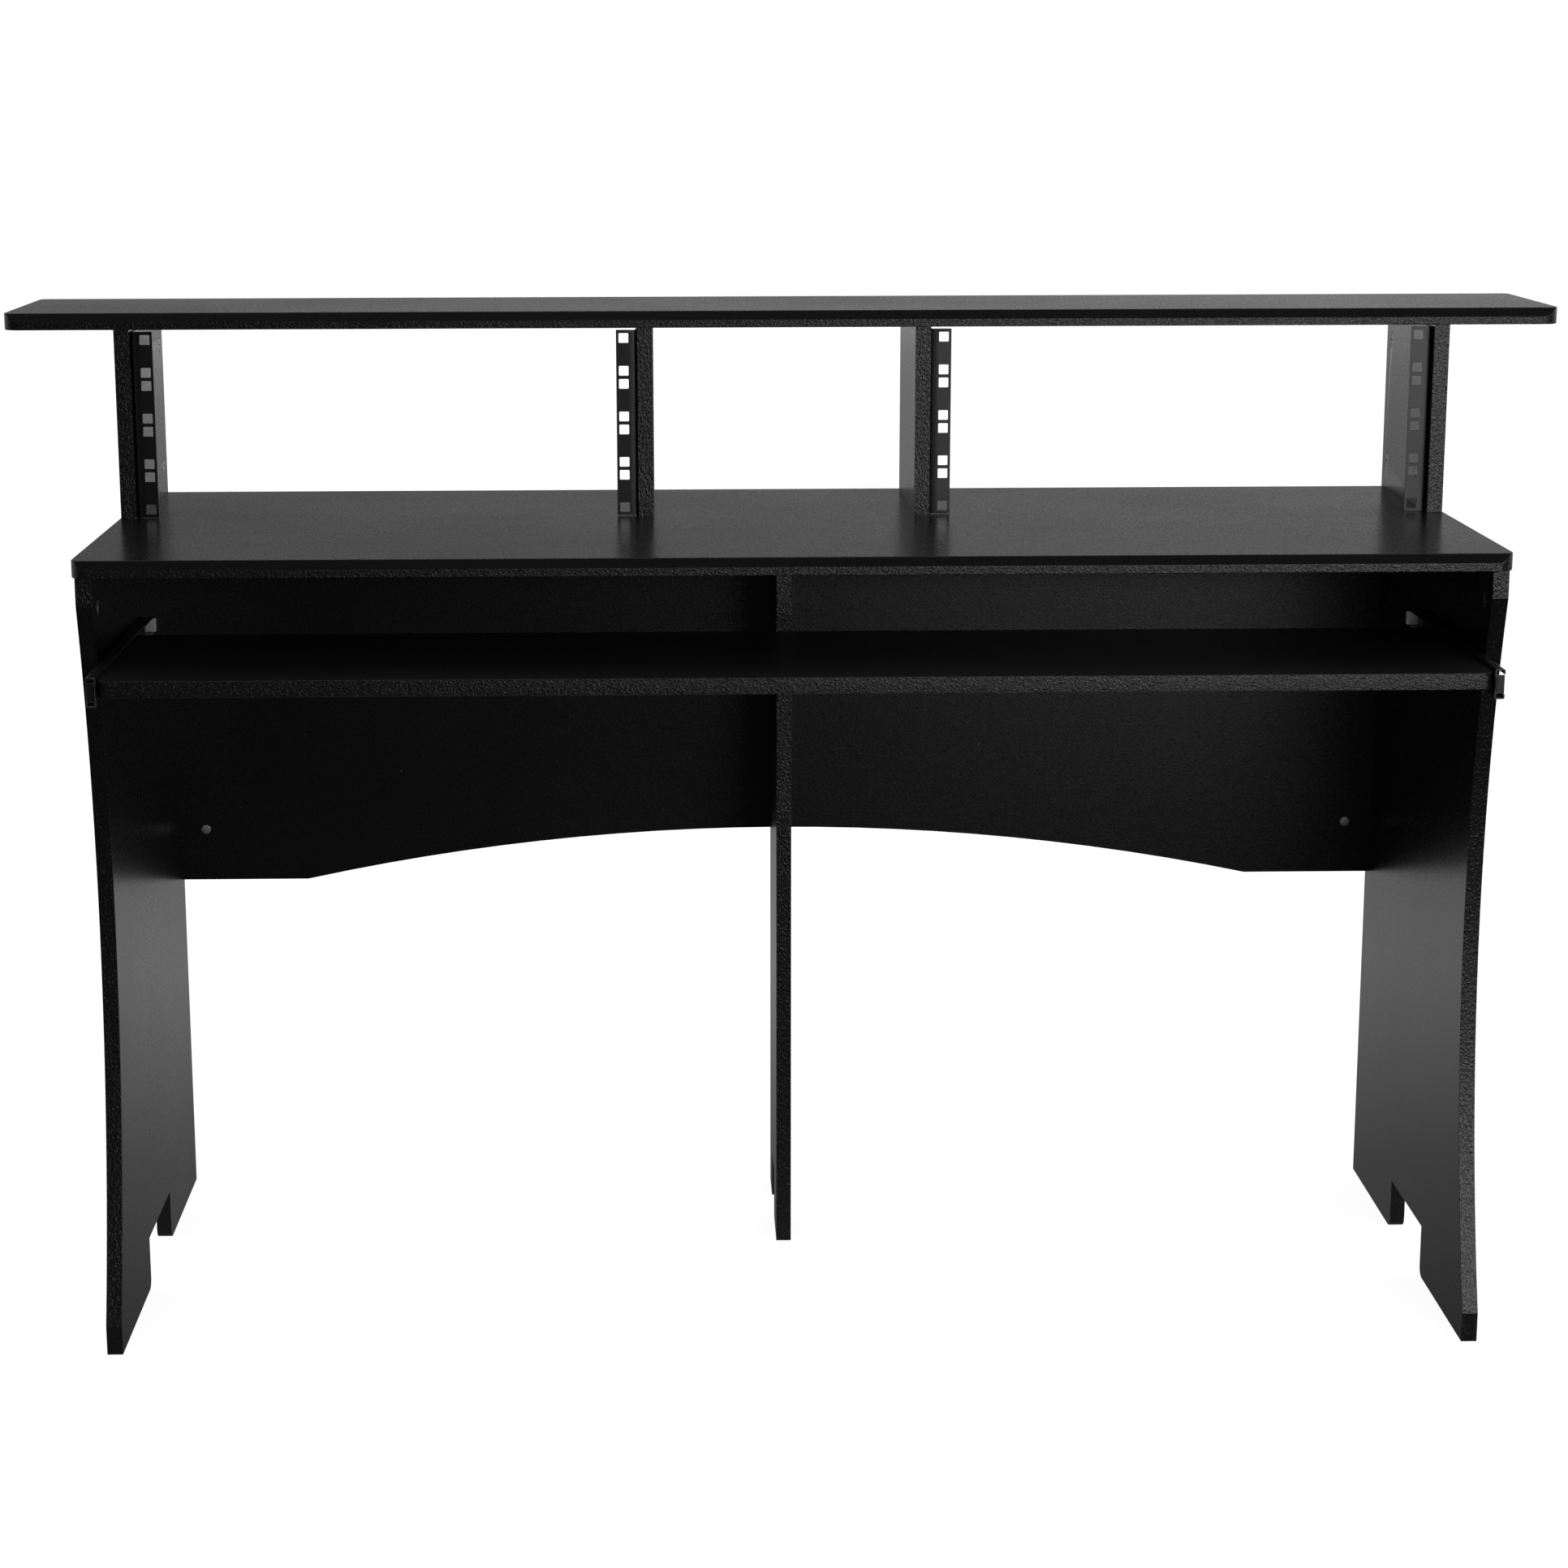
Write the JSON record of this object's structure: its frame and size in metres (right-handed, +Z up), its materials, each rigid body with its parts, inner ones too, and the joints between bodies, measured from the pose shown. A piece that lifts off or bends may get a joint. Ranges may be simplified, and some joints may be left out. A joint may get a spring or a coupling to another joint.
{
  "type": "studio desk",
  "caption": "Black studio desk with two 19-inch rack bays under a wide top shelf, a sliding keyboard tray, curved side legs and a modesty panel.",
  "frame": {"origin": "on the floor, at the middle of the space that the desk fills with its tray drawn out as shown", "axes": "+X to the right as seen from the front, +Y to the back, +Z up"},
  "size_m": [1.512, 0.584, 0.952],
  "materials": {
    "board": "black pearl-textured melamine on particle board",
    "rail": "black powder coat",
    "slide": "black electro-coated steel",
    "cage": "bright steel balls in a steel strip",
    "stop": "light grey nylon",
    "screw": "black steel",
    "bolt": "black-plated steel with a hexagon socket",
    "zinc": "zinc"
  },
  "bodies": {
    "desk": {"desktop": "board", "top_shelf": "board", "side_leg_left": "board", "side_leg_right": "board", "centre_leg": "board", "modesty_panel": "board", "upright_outer_left": "board", "upright_inner_left": "board", "upright_inner_right": "board", "upright_outer_right": "board", "rack_rail_outer_left": "rail", "rack_rail_inner_left": "rail", "rack_rail_inner_right": "rail", "rack_rail_outer_right": "rail", "slide_fixed_left": "slide", "slide_fixed_right": "slide", "slide_stop_left": "stop", "slide_stop_right": "stop", "slide_screw_left_front": "screw", "slide_screw_left_rear": "screw", "slide_screw_right_front": "screw", "slide_screw_right_rear": "screw", "rail_screw_outer_left_bottom": "screw", "rail_screw_outer_left_top": "screw", "rail_screw_inner_left_bottom": "screw", "rail_screw_inner_left_top": "screw", "rail_screw_inner_right_bottom": "screw", "rail_screw_inner_right_top": "screw", "rail_screw_outer_right_bottom": "screw", "rail_screw_outer_right_top": "screw", "panel_bolt_left_bottom": "bolt", "panel_bolt_left_top": "bolt", "panel_bolt_right_bottom": "bolt", "panel_bolt_right_top": "bolt", "barrel_nut_left_bottom": "zinc", "barrel_nut_left_top": "zinc", "barrel_nut_right_bottom": "zinc", "barrel_nut_right_top": "zinc", "panel_screw_1": "bolt", "panel_screw_2": "bolt", "panel_screw_3": "bolt", "cam_lock_outer_left_top": "zinc", "cam_lock_outer_left_bottom": "zinc", "cam_lock_inner_left_top": "zinc", "cam_lock_inner_left_bottom": "zinc", "cam_lock_inner_right_top": "zinc", "cam_lock_inner_right_bottom": "zinc", "cam_lock_outer_right_top": "zinc", "cam_lock_outer_right_bottom": "zinc", "cam_lock_leg_left_front": "zinc", "cam_lock_leg_left_rear": "zinc", "cam_lock_leg_right_front": "zinc", "cam_lock_leg_right_rear": "zinc", "cam_lock_centre_leg": "zinc"},
    "tray": {"keyboard_tray": "board", "slide_moving_left": "slide", "slide_moving_right": "slide"},
    "cage_left": {"ball_cage_left": "cage"},
    "cage_right": {"ball_cage_right": "cage"}
  },
  "joints": [
    {"name": "tray_slide", "type": "slide", "parent": "desk", "child": "tray", "axis": [0, -1, 0], "range_m": [-0.075, 0.142]},
    {"name": "cage_slide_left", "type": "slide", "parent": "desk", "child": "cage_left", "axis": [0, -1, 0], "range_m": [-0.0375, 0.071]},
    {"name": "cage_slide_right", "type": "slide", "parent": "desk", "child": "cage_right", "axis": [0, -1, 0], "range_m": [-0.0375, 0.071]}
  ],
  "couplings": [
    {"joint": "cage_slide_left", "follows": "tray_slide", "ratio": 0.5},
    {"joint": "cage_slide_right", "follows": "tray_slide", "ratio": 0.5}
  ]
}
